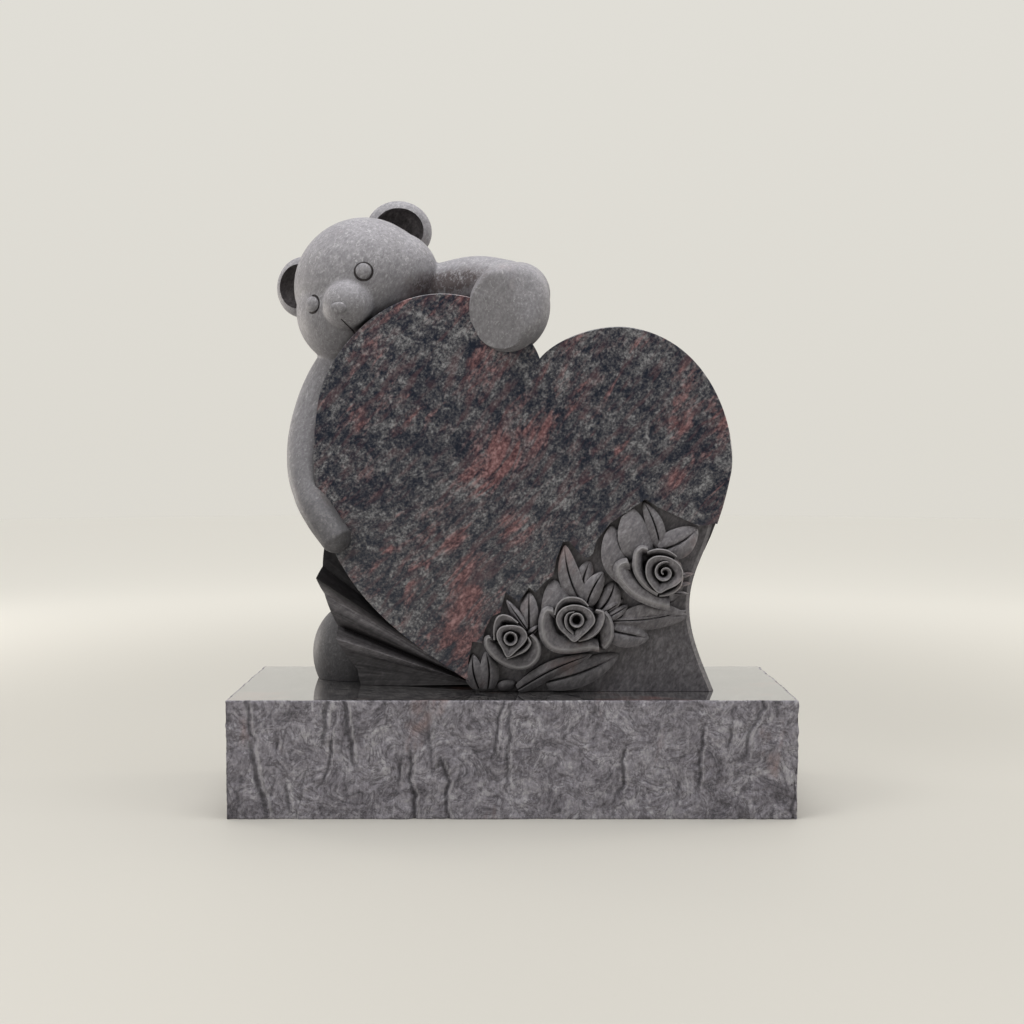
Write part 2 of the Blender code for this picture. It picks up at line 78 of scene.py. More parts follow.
class Tone:
    """A value or colour that varies over a stone. Sums and products of values add their Math nodes."""

    def __init__(self, tree, socket=None):
        self.tree = tree
        self.socket = socket

    def node(self, kind, settings=None, inputs=None, out=0):
        """Adds any node: its settings come first, then the values or links of its inputs."""
        made = self.tree.nodes.new(kind)
        for name, value in (settings or {}).items():
            setattr(made, name, value)
        for name, value in (inputs or {}).items():
            if isinstance(value, Tone):
                self.tree.links.new(value.socket, made.inputs[name])
            else:
                made.inputs[name].default_value = value
        return Tone(self.tree, made.outputs[out])

    def maths(self, operation, *values):
        return self.node("ShaderNodeMath", {"operation": operation}, dict(enumerate(values)))

    def vectors(self, operation, inputs, out=0):
        return self.node("ShaderNodeVectorMath", {"operation": operation}, inputs, out)

    def __add__(self, other):
        return self.maths("ADD", self, other)

    def __sub__(self, other):
        return self.maths("SUBTRACT", self, other)

    def __mul__(self, other):
        return self.maths("MULTIPLY", self, other)

    def __radd__(self, other):
        return self.maths("ADD", other, self)

    def __rsub__(self, other):
        return self.maths("SUBTRACT", other, self)

    def __rmul__(self, other):
        return self.maths("MULTIPLY", other, self)

    def rise(self, low, high):
        """0 below low, 1 above high, and smooth in between."""
        return self.node(
            "ShaderNodeMapRange", {"interpolation_type": "SMOOTHSTEP"}, {"Value": self, 1: low, 2: high}
        )

    def toward(self, other, amount):
        """This colour mixed towards another one."""
        colour = other if isinstance(other, Tone) else (*other, 1)
        return self.node("ShaderNodeMix", {"data_type": "RGBA"}, {0: amount, 6: self, 7: colour}, out=2)

    def shaded(self, amount):
        """This colour times a value."""
        return self.vectors("SCALE", {0: self, "Scale": amount})

    def ramp(self, *stops):
        """The colour that this value picks from a row of stops."""
        made = self.node("ShaderNodeValToRGB", {}, {"Fac": self})
        row = made.socket.node.color_ramp.elements
        row.remove(row[-1])
        for n, (spot, colour) in enumerate(stops):
            stop = row.new(spot) if n else row[0]
            stop.position = spot
            stop.color = (*colour, 1)
        return made

    def part(self, axis):
        """The X, Y or Z of this vector."""
        return self.node("ShaderNodeSeparateXYZ", {}, {"Vector": self}, axis)

    def length(self):
        return self.vectors("LENGTH", {0: self}, "Value")

    def within(self, lean, sizes, middle=(0, 0, 0)):
        """These coordinates as seen from a box that leans over, with its own sizes and middle."""
        box = {"Vector": self, "Location": middle, "Rotation": (0, radians(lean), 0), "Scale": sizes}
        return self.node("ShaderNodeMapping", {"vector_type": "TEXTURE"}, box)

    def speckled(self, scale, detail, roughness=0.5, distortion=0, out=0):
        """Noise over these coordinates."""
        noisy = {"Scale": scale, "Detail": detail, "Roughness": roughness, "Distortion": distortion}
        return self.node("ShaderNodeTexNoise", {}, {"Vector": self} | noisy, out)

    def stored(self, name):
        """A value kept with the points of the mesh."""
        return self.node("ShaderNodeAttribute", {"attribute_name": name}, out="Fac")


def surface_of(material):
    """The material's surface, to build its look on."""
    material.use_nodes = True
    return Tone(material.node_tree)


def finish_stone(surface, colour, roughness, specular, others=None):
    """Sets or links the sockets of the material's shader."""
    shader = surface.tree.nodes["Principled BSDF"]
    looks = {"Base Color": colour, "Roughness": roughness, "Specular IOR Level": specular} | (others or {})
    for name, value in looks.items():
        if isinstance(value, Tone):
            surface.tree.links.new(value.socket, shader.inputs[name])
        else:
            shader.inputs[name].default_value = value


def figure(surface, lean, stretch):
    """The granite's figure: how light each spot is and how pink, from grains, wisps and broad drifts."""
    spot = surface.node("ShaderNodeTexCoord", out="Object")
    sway = spot.speckled(3.2, 1.5, out="Color")
    bent = surface.vectors("MULTIPLY_ADD", {0: sway, 1: (0.07, 0.04, 0.07), 2: spot})
    laid = bent.within(lean, (1, 1, stretch))
    grains = laid.speckled(310, 2, 0.6)
    wisps = laid.speckled(150, 3.5, 0.62, 0.5)
    drifts = laid.speckled(52, 3, 0.6, 1.0)
    blush = laid.speckled(13, 4, 0.65)
    light = 0.5 + (wisps - 0.5) * 1.1 + (grains - 0.5) * 0.9 + (drifts - 0.5) * 0.55
    return spot, laid, light, blush, grains


def place(name, mesh):
    made = bpy.data.objects.new(name, mesh)
    bpy.context.scene.collection.objects.link(made)
    return made


def split_depth(x, y, z, along, creases):
    """How far the split face stands out at a spot, and a crease's painted tone there: painted shade over 0, a
    painted highlight under 0.
    """
    spot = Vector((x, y, z))
    depth = WAVES[0] * noise.fractal(spot * WAVES[1], 0.8, 2.1, 4)
    depth += RIDGES[0] * (noise.ridged_multi_fractal(spot * RIDGES[1], 0.9, 2.2, 4, 1.0, 2.0) - 1.2)
    ripple = noise.fractal(spot * RIPPLES[1] + Vector((7.1, 3.3, 1.7)), 0.9, 2.0, 2) * RIPPLE_FOLDS
    depth += RIPPLES[0] * abs(ripple % 2 - 1)
    tone = 0.0
    for start, lean, low, high, deep, wide in creases:
        middle = start + lean * z + CREASE_SWAY * noise.noise(Vector((start * 40, 3.1, z * 30)))
        middle += CREASE_JITTER * noise.noise(Vector((start * 90, 9.4, z * 110)))
        near = (along - middle) / wide
        if abs(near) > 3:
            continue
        ends = min(1, max(0, (z - low) / CREASE_END)) * min(1, max(0, (high - z) / CREASE_END))
        cut = deep * ends * exp(-near * near)
        depth += 0.5 * deep * ends * tanh(near) * exp(-0.3 * near * near) - cut
        edge = deep * ends * exp(-((near - 1.5) ** 2) * 2)
        tone += (cut - 0.8 * edge) / CREASE_DARK
    return depth, tone


def build_base():
    """Rings of points round the block, from the underside up to the eased arris, and flat beds."""
    width, depth, height = base_high - base_low
    dice = np.random.default_rng(SPLIT_SEED)
    # Each crease: where it starts, its lean, foot, top, depth and width
    creases = []
    for n in range(round(2 * (width + depth) / CREASE_SPACING)):
        low = dice.uniform(-0.05, 0.10)
        creases.append((
            (n + dice.uniform(-0.4, 0.4)) * CREASE_SPACING,
            dice.uniform(-0.22, 0.30),
            low,
            low + dice.uniform(0.04, 0.16),
            dice.uniform(0.0008, 0.0034) * (1.0 if dice.random() < 0.6 else 0.4),
            dice.uniform(0.0018, 0.0042),
        ))
    across, deep = round(width / SPLIT_STEP), round(depth / SPLIT_STEP)
    plan = [(i / across, 0, i / across * width) for i in range(across)]
    plan += [(1, i / deep, width + i / deep * depth) for i in range(deep)]
    plan += [(1 - i / across, 1, width + depth + i / across * width) for i in range(across)]
    plan += [(0, 1 - i / deep, 2 * width + depth + i / deep * depth) for i in range(deep)]
    levels = round(height / SPLIT_STEP)
    heights = [level / levels * (height - EASED_ARRIS) for level in range(levels + 1)]
    reliefs = np.zeros((len(heights), len(plan)))
    painted_crease_tones = []
    for level, z in enumerate(heights):
        for n, (a, b, along) in enumerate(plan):
            out, tone = split_depth((a - 0.5) * width, (b - 0.5) * depth, z, along, creases)
            reliefs[level, n] = out * (1 - 0.35 * (z / height) ** 8)
            painted_crease_tones.append(tone)
    reliefs = np.minimum(0, reliefs - np.percentile(reliefs, HIGH_SPOTS))
    points = np.zeros((len(heights), len(plan), 3))
    for level, z in enumerate(heights):
        for n, (a, b, _) in enumerate(plan):
            x, y = (a - 0.5) * width, (b - 0.5) * depth
            out = reliefs[level, n] - BATTER * (1 - z / height)
            points[level, n] = (
                x + copysign(1, x) * out * (a in (0, 1)),
                y + copysign(1, y) * out * (b in (0, 1)),
                z,
            )
    for axis, size in ((0, width), (1, depth)):
        low, high = points[..., axis].min(), points[..., axis].max()
        points[..., axis] = (points[..., axis] - (low + high) / 2) * size / (high - low)
    inwards = 1 - EASED_ARRIS / (depth / 2)
    crown = points[-1] * (inwards, inwards, 0) + (0, 0, height)
    points = np.concatenate([points, crown[None]])
    count = len(plan)
    mesh = bpy.data.meshes.new("base_split")
    faces = []
    for level in range(len(points) - 1):
        for i in range(count):
            j = (i + 1) % count
            lower, upper = level * count, (level + 1) * count
            faces.append((lower + i, lower + j, upper + j, upper + i))
    faces.append(tuple(range(count))[::-1])
    faces.append(tuple(range((len(points) - 1) * count, len(points) * count)))
    mesh.from_pydata(points.reshape(-1, 3).tolist(), [], faces)
    mesh.polygons.foreach_set("use_smooth", [True] * (len(faces) - 2) + [False, False])
    finishes = np.zeros(len(faces), int)
    finishes[-1] = 1
    mesh.polygons.foreach_set("material_index", finishes)
    crease_shade_and_highlight = mesh.attributes.new("crease_shade_and_highlight", "FLOAT", "POINT")
    crease_shade_and_highlight.data.foreach_set("value", np.array(painted_crease_tones + [0.0] * count, np.float32))
    mesh.update()
    return place("base_split", mesh)


base = build_base()

split_stone = bpy.data.materials.new("split_granite")
surface = surface_of(split_stone)
spot, _, light, blush, _ = figure(surface, 8, 2.2)
crease_shade_and_highlight = surface.stored("crease_shade_and_highlight")
tooth = spot.speckled(210, 5, 0.7)
layers = surface.maths("PINGPONG", spot.speckled(27, 6, 0.66, 0.8) * 14, 1.0)
wash = spot.speckled(26, 3, 0.5, 1.0)
tone = 0.5 + (light - 0.5) * 0.55 + (tooth - 0.5) * 0.9 + (layers - 0.5) * 0.20 + (wash - 0.5) * 0.9
colour = tone.ramp(
    (0.10, (0.076, 0.071, 0.082)), (0.38, (0.187, 0.176, 0.201)), (0.60, (0.292, 0.278, 0.311)),
    (0.90, (0.50, 0.49, 0.52)),
)
colour = colour.toward((0.30, 0.185, 0.16), blush.rise(0.60, 0.74) * 0.5)
colour = colour.toward((0.075, 0.071, 0.079), (1 - layers.rise(0.0, 0.26)) * 0.62)
# Painted highlight along one edge of each crease, and painted shade in its cut.
colour = colour.toward((0.52, 0.51, 0.53), (0 - crease_shade_and_highlight).rise(0.06, 0.6) * 0.42)
colour = colour.toward((0.045, 0.043, 0.050), crease_shade_and_highlight.rise(0.05, 0.8) * 0.66)
relief = tooth + layers * 0.6
bump = surface.node("ShaderNodeBump", {}, {"Strength": 0.8, "Distance": 0.0013, "Height": relief})
finish_stone(surface, colour, 0.72, 0.35, {"Normal": bump})

polished_bed = bpy.data.materials.new("polished_bed")
surface = surface_of(polished_bed)
_, _, light, blush, _ = figure(surface, 70, 2.6)
colour = light.ramp((0.2, (0.015, 0.016, 0.02)), (0.5, (0.06, 0.057, 0.06)), (0.8, (0.22, 0.21, 0.205)))
colour = colour.toward((0.22, 0.09, 0.075), blush.rise(0.56, 0.70) * 0.7)
mirror = {"Coat Weight": 1.0, "Coat Roughness": 0.02, "Coat IOR": 2.0, "IOR": 1.7}
finish_stone(surface, colour, 0.035, 0.5, mirror)

base.data.materials.append(split_stone)
base.data.materials.append(polished_bed)
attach(base, "root")
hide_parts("base")


# The heart and the slab behind it: the body of the carved stone. The heart is a plate 128 mm thick with a
# polished face, tilted over to the right, and its lower right is cut back for the roses. The slab carries
# it, flared at the foot, with honed faces. All of this is one block with what the later sections carve.

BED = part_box("headstone")[0].z
MM = 0.001
HEART_FACE = -90
HEART_THICK = 128
HEART_ARRIS = 1.1
HEART_TIP = (-47, 7)
HEART_TILT = radians(10.7)
SLAB_FACE = -79
SLAB_THICK = 108
SLAB_CHAMFER = 6
POCKET_FLOOR = -73
POLISHED, HONED, CARVED, CLOTH, FUR, SHADE = range(6)
finishes = [
    bpy.data.materials.new(name)
    for name in ("polished_heart", "honed_slab", "carved_relief", "draped_stone", "honed_bear", "cut_shade")
]

# Half the heart's outline: curves with their handles, from the tip up the side and over the lobe to the notch
HEART_CURVES = (
    ((0, 0), (112, 48), (284, 104), (284, 350)),
    ((284, 350), (284, 402), (230, 519), (118, 519)),
    ((118, 519), (70, 519), (16, 485), (0, 455)),
)

# Where the polished face is cut back for the spray
POCKET = (
    (330, 222), (274, 231), (255, 227), (224, 241), (198, 253), (181, 264), (159, 249), (133, 231),
    (115, 208), (110, 190), (103, 184), (93, 189), (78, 207), (69, 206), (60, 182), (56, 160),
    (44, 151), (32, 137), (23, 144), (9, 124), (-9, 137), (-16, 110), (-28, 104), (-37, 86),
    (-41, 68), (-54, 70), (-60, 40), (-48, -20), (330, -20),
)


def at(x, y, z):
    """A point of the carving, from millimetres above the stone's bed to the row frame."""
    return Vector((x * MM, y * MM, z * MM + BED))


def mesh_object(name, shape, finish):
    """A closed bmesh made an object whose faces all carry one finish."""
    bmesh.ops.recalc_face_normals(shape, faces=shape.faces)
    if shape.calc_volume(signed=True) < 0:
        bmesh.ops.reverse_faces(shape, faces=shape.faces)
    for face in shape.faces:
        face.material_index = finish
        face.smooth = True
    mesh = bpy.data.meshes.new(name)
    shape.to_mesh(mesh)
    shape.free()
    for material in finishes:
        mesh.materials.append(material)
    return place(name, mesh)


def loft(name, sections, finish, round_trip=False):
    """A closed skin through a row of sections with equal numbers of points."""
    shape = bmesh.new()
    rows = [[shape.verts.new(point) for point in section] for section in sections]
    pairs = list(zip(rows, rows[1:]))
    if round_trip:
        pairs.append((rows[-1], rows[0]))
    else:
        shape.faces.new(rows[0])
        shape.faces.new(rows[-1])
    for near, far in pairs:
        for i in range(len(near)):
            j = (i + 1) % len(near)
            shape.faces.new((near[i], near[j], far[j], far[i]))
    return mesh_object(name, shape, finish)


def plate(name, outline, front, thick, edge, finish):
    """A flat plate cut to an outline in the x, z plane, with its arrises bevelled."""
    curve = bpy.data.curves.new(name, "CURVE")
    curve.dimensions = "2D"
    curve.fill_mode = "BOTH"
    curve.extrude = (thick / 2 - edge) * MM
    curve.bevel_depth = edge * MM
    curve.bevel_resolution = 0
    curve.offset = -edge * MM
    spline = curve.splines.new("POLY")
    spline.points.add(len(outline) - 1)
    for point, (x, z) in zip(spline.points, outline):
        point.co = (x * MM, z * MM, 0, 1)
    spline.use_cyclic_u = True
    drawn = place(name + "_outline", curve)
    drawn.matrix_world = Matrix.Translation(at(0, front + thick / 2, 0)) @ Matrix.Rotation(pi / 2, 4, "X")
    return settle(drawn, name, finish)


def evaluated(thing):
    """A new mesh of a thing with its curves and modifiers worked out."""
    bpy.context.view_layer.update()
    return bpy.data.meshes.new_from_object(thing.evaluated_get(bpy.context.evaluated_depsgraph_get()))


def settle(drawn, name, finish):
    """A curve object made a welded mesh object of its own."""
    shape = bmesh.new()
    shape.from_mesh(evaluated(drawn))
    bmesh.ops.transform(shape, matrix=drawn.matrix_world, verts=shape.verts)
    bmesh.ops.remove_doubles(shape, verts=shape.verts, dist=0.00002)
    bpy.data.objects.remove(drawn, do_unlink=True)
    return mesh_object(name, shape, finish)


def bake(thing, others=()):
    """Settles the modifiers into the mesh and takes the used-up shapes away."""
    mesh = evaluated(thing)
    thing.modifiers.clear()
    thing.data = mesh
    for other in others:
        bpy.data.objects.remove(other, do_unlink=True)


def modify(thing, kind, **settings):
    """Puts a modifier on a thing, with its settings."""
    step = thing.modifiers.new(kind, kind)
    for name, value in settings.items():
        setattr(step, name, value)


def combine(target, others, operation):
    """Joins the other shapes to the target, or cuts them out of it, one after another."""
    for other in others:
        modify(target, "BOOLEAN", operation=operation, object=other, solver="MANIFOLD", material_mode="INDEX")
    bake(target, others)


def bezier(a, b, c, d, count):
    a, b, c, d = (Vector(point) for point in (a, b, c, d))
    line = []
    for t in (i / count for i in range(count)):
        line.append(tuple(a * (1 - t) ** 3 + b * 3 * t * (1 - t) ** 2 + c * 3 * t * t * (1 - t) + d * t**3))
    return line


def heart_outline(count=30):
    half = [point for curve in HEART_CURVES for point in bezier(*curve, count)]
    outline = half + [HEART_CURVES[-1][-1]] + [(-x, z) for x, z in reversed(half[1:])]
    turn, lean = cos(HEART_TILT), sin(HEART_TILT)
    return [(HEART_TIP[0] + x * turn + z * lean, HEART_TIP[1] - x * lean + z * turn) for x, z in outline]


heart = plate("heart", heart_outline(), HEART_FACE, HEART_THICK, HEART_ARRIS, POLISHED)
pocket = plate("pocket", POCKET, POCKET_FLOOR - HEART_THICK, HEART_THICK, 0.5, CARVED)
combine(heart, [pocket], "DIFFERENCE")

flare = bezier((277, 0), (252, 62), (228, 108), (256, 176), 30)
shoulder = bezier((256, 176), (266, 200), (276, 225), (281, 262), 12)
unseen = [(281, 262), (240, 430), (100, 455), (20, 420), (-150, 470), (-225, 400), (-222, 190)]
slab = [(-50, 30), (-50, -20), (281, -20)] + flare + shoulder + unseen
stone = plate("headstone_carved", slab, SLAB_FACE, SLAB_THICK, SLAB_CHAMFER, HONED)


# The drapery: a fan of folds below the heart's left edge, spread from the heart's tip and cut from the same
# block. Each fold falls back and deepens as it goes out, and two of them end in a point at the left.

DRAPE_TIP = (-45, -46, 4)
DRAPE_BACK = 27
DRAPE_SLOPE = 0.185
FOLD_GROWTH = 0.15

# Its folds: angle above the ground, reach, and how far forward
FOLDS = (
    (-2, 168, 0.30), (6, 174, 0.28), (13, 197, 0.45), (17.5, 210, 0.95), (21, 216, 0.0), (26, 235, 0.55),
    (29.5, 252, 0.45), (33, 272, 1.0), (36, 276, 0.25), (40, 291, 0.0), (46, 310, -0.1), (54, 322, -0.1),
)


def build_drapery(between=5, along=18):
    sections = []
    turns = []
    for near, far in zip(FOLDS, FOLDS[1:]):
        for k in range(between):
            share = k / between
            swell = 0.10 * sin(pi * share) * abs(far[2] - near[2])
            turn, reach, forward = (a + (b - a) * share for a, b in zip(near, far))
            turns.append((turn, reach, forward + swell))
    turns.append(FOLDS[-1])
    for turn, reach, forward in turns:
        angle = radians(turn)
        front = []
        for k in range(along + 1):
            run = (0.02 + 0.98 * k / along) * reach
            back_by = DRAPE_SLOPE * run - forward * (5 + FOLD_GROWTH * run)
            x, y, z = DRAPE_TIP
            front.append(at(x - run * cos(angle), y + back_by, z + run * sin(angle)))
        back = [Vector((p.x, DRAPE_BACK * MM, p.z)) for p in (front[-1], front[0])]
        sections.append(front + back)
    return loft("drapery", sections, CLOTH)


drapery = build_drapery()


# The spray: three roses and their leaves, carved in high relief in the pocket at the lower right. The leaves
# are crisp plates with a cut midrib and shallow veins, about as high as the polished face. The petals are
# thin-lipped bowls, nested round a deep heart, and each rose grows from a round bulb.

RELIEF_ROOT = SLAB_FACE + 0.25 * SLAB_THICK

# Leaves: root, tip, width, sideways bend, height before the heart's face, and how deep the veins are cut
LEAVES = (
    ((179, 179), (159, 254), 45, 4, 1, 0.0), ((202, 197), (179, 262), 24, -3, -2, 0.4),
    ((201, 194), (253, 224), 41, -4, 1, 1.0), ((158, 152), (134, 228), 42, 5, 1, 0.0),
    ((94, 122), (71, 202), 30, 5, 2, 0.3), ((92, 124), (106, 180), 31, 3, -1, 0.2),
    ((101, 120), (125, 165), 27, 3, 3, 0.3), ((120, 111), (141, 152), 32, -3, -3, 0.2),
    ((122, 107), (152, 127), 12, 0, 0, 0.3), ((125, 100), (159, 119), 15, 0, 1, 0.3),
    ((131, 98), (239, 112), 14, -4, 0, 0.6), ((150, 97), (240, 104), 37, 4, -1, 0.7),
    ((128, 86), (187, 74), 37, 0, 1, 0.9), ((68, 83), (57, 154), 57, -5, -1, 0.0),
    ((20, 87), (-8, 127), 12, 0, 3, 0.2), ((23, 83), (23, 138), 27, 0, 0, 0.2),
    ((22, 78), (41, 93), 12, 0, 1, 0.2), ((-45, 5), (-54, 52), 27, 3, 0, 0.4),
    ((-33, 5), (-35, 56), 27, -3, 2, 0.4), ((8, 4), (109, 52), 24, 5, 2, 0.3),
    ((46, 14), (146, 51), 37, -4, -1, 1.0), ((-19, 7), (7, 12), 16, 0, -1, 0.0),
    ((217, 157), (248, 163), 8, 0, -2, 0.4), ((218, 148), (244, 149), 8, 0, -1, 0.4),
    ((215, 137), (241, 134), 8, 0, -2, 0.4),
)
LEAF_ARCH = 2.5
LEAF_DROOP = 3.5
LEAF_SUNK = 3
LEAF_CROWN = 5.5
LEAF_CREASE = 4.8
CREASE_WIDTH = 0.09
LEAF_LEAN = 4.2
HALF_LEAF = (0.045, 0.11, 0.25, 0.42, 0.6, 0.78, 0.93, 1)
ACROSS_LEAF = (*(-s for s in reversed(HALF_LEAF)), 0, *HALF_LEAF)
VEIN_SPACING = 6.5
VEIN_SLANT = 1.3
VEIN_SHARP = 5.5
VEIN_DEPTH = 1.1
LEAF_RIM = 0.45
PETAL_FOOT = -22

# Lines that get a painted highlight, where they are also rubbed pale: points, how pale, and how wide
lip_highlights = []


def build_leaf(name, root, tip, width, bend, proud, veined, lean, steps=40):
    """Lens-shaped sections along a leaf: two crowned halves with a crease down the midrib."""
    root, tip = Vector(root), Vector(tip)
    along = tip - root
    side = Vector((-along.y, along.x)).normalized()
    sections = []
    for i in range(steps + 1):
        t = i / steps
        swell = sin(pi * min(1, 0.14 + 0.86 * t**0.92)) ** 0.62
        half = max(0.6, width / 2 * swell)
        middle = root + along * t + side * bend * sin(pi * t)
        lift = proud + LEAF_ARCH * sin(pi * t) - LEAF_DROOP * t**3 - LEAF_SUNK
        top = []
        for s in ACROSS_LEAF:
            tilt = lean * s * swell
            crown = LEAF_CROWN * (1 - s * s) * swell
            crease = (LEAF_CREASE if veined else 0) * exp(-((s / CREASE_WIDTH) ** 2))
            crease = crease * min(1, 2.5 * (1 - t)) * min(1, half / 5)
            run = t * along.length / VEIN_SPACING - abs(s) * half / VEIN_SPACING * VEIN_SLANT
            groove = max(0, 1 - abs((run % 1) - 0.5) * VEIN_SHARP)
            vein = veined * VEIN_DEPTH * groove * min(1, abs(s) * 6) * (1 - abs(s) ** 4)
            across = middle + side * half * s
            top.append(at(across.x, HEART_FACE - (lift + crown + tilt - crease - vein), across.y))
        lip_highlights.extend(((top[0], LEAF_RIM, 1.0), (top[-1], LEAF_RIM, 1.0)))
        ends = [Vector((p.x, RELIEF_ROOT * MM, p.z)) for p in (top[-1], top[0])]
        sections.append(top + ends)
    return loft(name, sections, CARVED)


def smooth_line(points, closed, count):
    """Evenly spaced points on a smooth curve through the given ones."""
    knots = [Vector(p) for p in points]
    around = [knots[-1], *knots, *knots[:2]] if closed else [knots[0], *knots, knots[-1]]
    line = []
    for a, b, c, d in zip(around, around[1:], around[2:], around[3:]):
        for k in range(12):
            t = k / 12
            curved = (2 * a - 5 * b + 4 * c - d) * t * t
            line.append(0.5 * (2 * b + (c - a) * t + curved + (3 * b - a - 3 * c + d) * t**3))
    line.append(knots[0] if closed else knots[-1])
    runs = np.concatenate([[0], np.cumsum([(q - p).length for p, q in zip(line, line[1:])])])
    wanted = np.linspace(0, runs[-1], count + 1)
    xs = np.interp(wanted, runs, [p.x for p in line])
    zs = np.interp(wanted, runs, [p.y for p in line])
    even = [Vector((x, z)) for x, z in zip(xs, zs)]
    return even[:-1] if closed else even


def build_petal(name, centre, rim, closed, width, crest, drop, roll, sink=11):
    """A bowl-shaped band: up from the crevice at its inner neighbour to a thin lip, rolled outwards."""
    centre = Vector(centre)
    length = sum((Vector(q) - Vector(p)).length for p, q in zip(rim, rim[1:]))
    count = max(24, round(length / 1.6))
    line = smooth_line(rim, closed, count)
    sections = []
    for i, spot in enumerate(line):
        if closed:
            ahead = line[(i + 1) % len(line)] - line[i - 1]
            arch = 1
        else:
            ahead = line[min(i + 1, len(line) - 1)] - line[max(i - 1, 0)]
            arch = max(0.12, sin(pi * i / (len(line) - 1))) ** 0.5
        away = Vector((ahead.y, -ahead.x)).normalized()
        outward = (spot - centre).normalized()
        if away.dot(outward) < 0:
            away.negate()
        away = (away + 0.6 * outward).normalized()
        wide = width * (0.35 + 0.65 * arch)
        top = crest - 3.5 * (1 - arch)
        profile = [(-wide - 1.5, PETAL_FOOT, 1.0)]
        for k in range(9):
            s = k / 8
            profile.append((-wide * (1 - s) - 1.1, top - 0.9 - drop * (1 - s) ** 1.8, 0.0))
        profile += [
            (-0.9, top - 0.1, 0), (-0.3, top + 0.15, 0), (0.25, top - 0.15, 0), (0.6, top - 0.9, 0),
            (0.6 + 0.6 * roll, top - 1.0 - 0.15 * roll, 0), (0.5 + roll, top - 1.4 - 0.45 * roll, 0),
            (0.2 + 0.8 * roll, top - 2.4 - 0.95 * roll, 0), (-0.6, top - 4.5 - 1.5 * roll, 0.1),
            (-1.4, PETAL_FOOT, 1.0),
        ]
        section = []
        for out, high, low in profile:
            where = spot + away * out
            section.append(at(where.x, HEART_FACE - high, where.y - low * sink))
        lip_highlights.append((at(spot.x, HEART_FACE - top, spot.y), 1.0, 1 + 0.3 * roll))
        sections.append(section)
    return loft(name, sections, CARVED, round_trip=closed)


def ball(name, centre, radii, finish, turn=None, rings=14):
    """An ellipsoid, turned by a rotation matrix."""
    shape = bmesh.new()
    bmesh.ops.create_uvsphere(shape, u_segments=2 * rings, v_segments=rings, radius=1)
    size = Matrix.Diagonal((*[r * MM for r in radii], 1))
    turned = (turn or Matrix.Identity(3)).to_4x4()
    bmesh.ops.transform(shape, matrix=Matrix.Translation(at(*centre)) @ turned @ size, verts=shape.verts)
    return mesh_object(name, shape, finish)


def ring_rim(centre, radius, squeeze=1.0, count=12, start=0.1):
    turns = [start + 2 * pi * k / count for k in range(count)]
    return [(centre[0] + radius * squeeze * cos(a), centre[1] + radius * sin(a)) for a in turns]


def spiral_rim(centre, inner, outer, start, turn, count=26):
    """Points of a rim that winds outwards, clockwise."""
    rim = []
    for k in range(count + 1):
        share = k / count
        angle = radians(start - turn * share)
        radius = inner + (outer - inner) * share
        rim.append((centre[0] + radius * cos(angle), centre[1] + radius * sin(angle)))
    return rim


# Petals of each rose: rim, closed or not, width of the bowl, height of its crest, drop inwards, roll
ROSES = {
    "small": ((-1, 77), 0.84, (
        (ring_rim((-2, 77), 9.0, 0.97), True, 2.5, 25, 6, 0.0),
        (((-6, 52), (-13, 64), (-19, 75), (-20, 84), (-16, 91), (-8, 94), (4, 94), (15, 90), (20, 80), (16, 71),
          (6, 61)), True, 8.0, 23, 5.5, 0.3),
        (((-24, 74), (-24, 92), (-20, 104), (-12, 108), (-2, 105), (8, 97)), False, 10, 17, 8, 0.8),
        (((21, 78), (25, 70), (19, 61), (8, 55), (-7, 49)), False, 6, 20.5, 9, 0.8),
        (((-29, 77), (-34, 75), (-34, 66), (-28, 56), (-17, 46), (-4, 39), (10, 36), (23, 39), (32, 47),
          (36, 58), (34, 70), (25, 80)), False, 17, 13.5, 9, 3.2),
    )),
    "middle": ((87, 101), 1.0, (
        (ring_rim((87, 102), 9.6, 0.97), True, 2.7, 25.5, 6, 0.0),
        (((84, 113), (75, 111), (71, 103), (73, 92), (82, 83)), False, 4.4, 24.5, 5, 0.0),
        (((84, 73), (73, 82), (64, 91), (60, 102), (63, 112), (71, 119), (84, 122), (98, 119), (108, 111),
          (111, 100), (104, 90), (94, 81)), True, 9.5, 23, 6, 0.3),
        (((58, 108), (61, 121), (70, 130), (82, 132), (94, 129), (103, 120)), False, 10, 18, 8, 0.8),
        (((113, 115), (123, 112), (123, 100), (116, 86), (104, 77), (90, 73)), False, 11, 20, 9, 1.0),
        (((57, 112), (47, 114), (42, 104), (41, 90), (45, 74), (57, 63), (75, 60), (94, 62), (107, 64),
          (118, 62)), False, 19, 15.5, 10, 5.0),
        (((125, 111), (132, 101), (135, 87), (133, 73), (125, 62)), False, 16, 11, 7, 3.0),
    )),
    "large": ((204, 166), 1.0, (
        (spiral_rim((205, 166), 3.0, 15.5, 240, 530), False, 4.0, 26, 6, 0.0),
        (((198, 139), (189, 147), (182, 158), (180, 170), (183, 181), (191, 187), (202, 188), (213, 185),
          (223, 178), (229, 168), (228, 157), (220, 149), (209, 144)), True, 9.5, 23.5, 6, 0.3),
        (((197, 137), (184, 145), (174, 155), (167, 168), (166, 181), (168, 193), (175, 199), (183, 197)),
         False, 10, 20, 10, 3.4),
        (((182, 193), (195, 197), (210, 195), (222, 187)), False, 8, 18, 7, 0.6),
        (((230, 160), (226, 146), (214, 137), (199, 134)), False, 7, 19.5, 9, 1.2),
        (((165, 176), (153, 179), (144, 174), (144, 163), (152, 150), (164, 138), (180, 129), (197, 123),
          (213, 120)), False, 20, 17.5, 9, 6.0),
    )),
}


